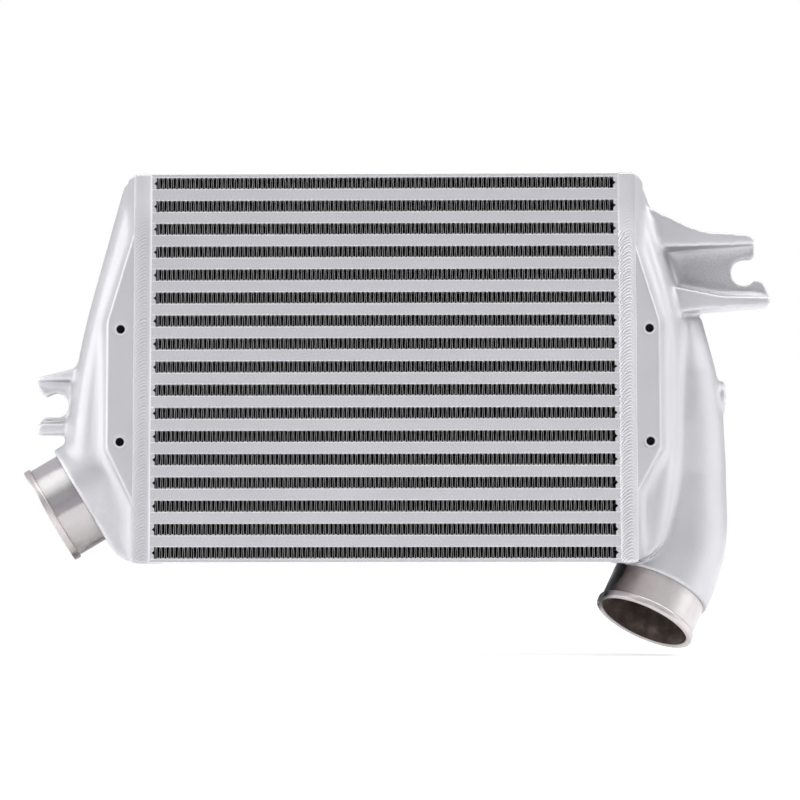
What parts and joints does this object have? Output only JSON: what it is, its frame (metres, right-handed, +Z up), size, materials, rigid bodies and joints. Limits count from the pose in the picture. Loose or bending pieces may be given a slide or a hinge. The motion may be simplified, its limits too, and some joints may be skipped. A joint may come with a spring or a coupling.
{
  "type": "intercooler",
  "caption": "Bar-and-plate charge-air cooler: a rectangular finned core between two cast end tanks with hose necks, slotted fixing lugs and threaded pads.",
  "frame": {"origin": "centre of the four threaded holes, on the plane of the front pads", "axes": "X along the core from the inlet tank to the outlet tank, Y through the core from its front to its back, Z up"},
  "size_m": [0.541, 0.1014, 0.3393],
  "materials": {
    "core_fin": "rolled sheet, brazed",
    "core_bar": "silver paint, slightly grainy",
    "weld": "welded bead under silver paint",
    "casting": "silver painted casting, necks left machined"
  },
  "bodies": {
    "root": {"cooling_fin_01": "core_fin", "cooling_fin_02": "core_fin", "cooling_fin_03": "core_fin", "cooling_fin_04": "core_fin", "cooling_fin_05": "core_fin", "cooling_fin_06": "core_fin", "cooling_fin_07": "core_fin", "cooling_fin_08": "core_fin", "cooling_fin_09": "core_fin", "cooling_fin_10": "core_fin", "cooling_fin_11": "core_fin", "cooling_fin_12": "core_fin", "cooling_fin_13": "core_fin", "cooling_fin_14": "core_fin", "cooling_fin_15": "core_fin", "cooling_fin_16": "core_fin", "cooling_fin_17": "core_fin", "charge_tube_01": "core_bar", "charge_tube_02": "core_bar", "charge_tube_03": "core_bar", "charge_tube_04": "core_bar", "charge_tube_05": "core_bar", "charge_tube_06": "core_bar", "charge_tube_07": "core_bar", "charge_tube_08": "core_bar", "charge_tube_09": "core_bar", "charge_tube_10": "core_bar", "charge_tube_11": "core_bar", "charge_tube_12": "core_bar", "charge_tube_13": "core_bar", "charge_tube_14": "core_bar", "charge_tube_15": "core_bar", "charge_tube_16": "core_bar", "turbulator_01": "core_fin", "turbulator_02": "core_fin", "turbulator_03": "core_fin", "turbulator_04": "core_fin", "turbulator_05": "core_fin", "turbulator_06": "core_fin", "turbulator_07": "core_fin", "turbulator_08": "core_fin", "turbulator_09": "core_fin", "turbulator_10": "core_fin", "turbulator_11": "core_fin", "turbulator_12": "core_fin", "turbulator_13": "core_fin", "turbulator_14": "core_fin", "turbulator_15": "core_fin", "turbulator_16": "core_fin", "top_end_sheet": "core_bar", "bottom_end_sheet": "core_bar", "left_closing_bars": "core_bar", "right_closing_bars": "core_bar", "left_weld": "weld", "right_weld": "weld", "inlet_tank": "casting", "outlet_tank": "casting"}
  },
  "joints": []
}
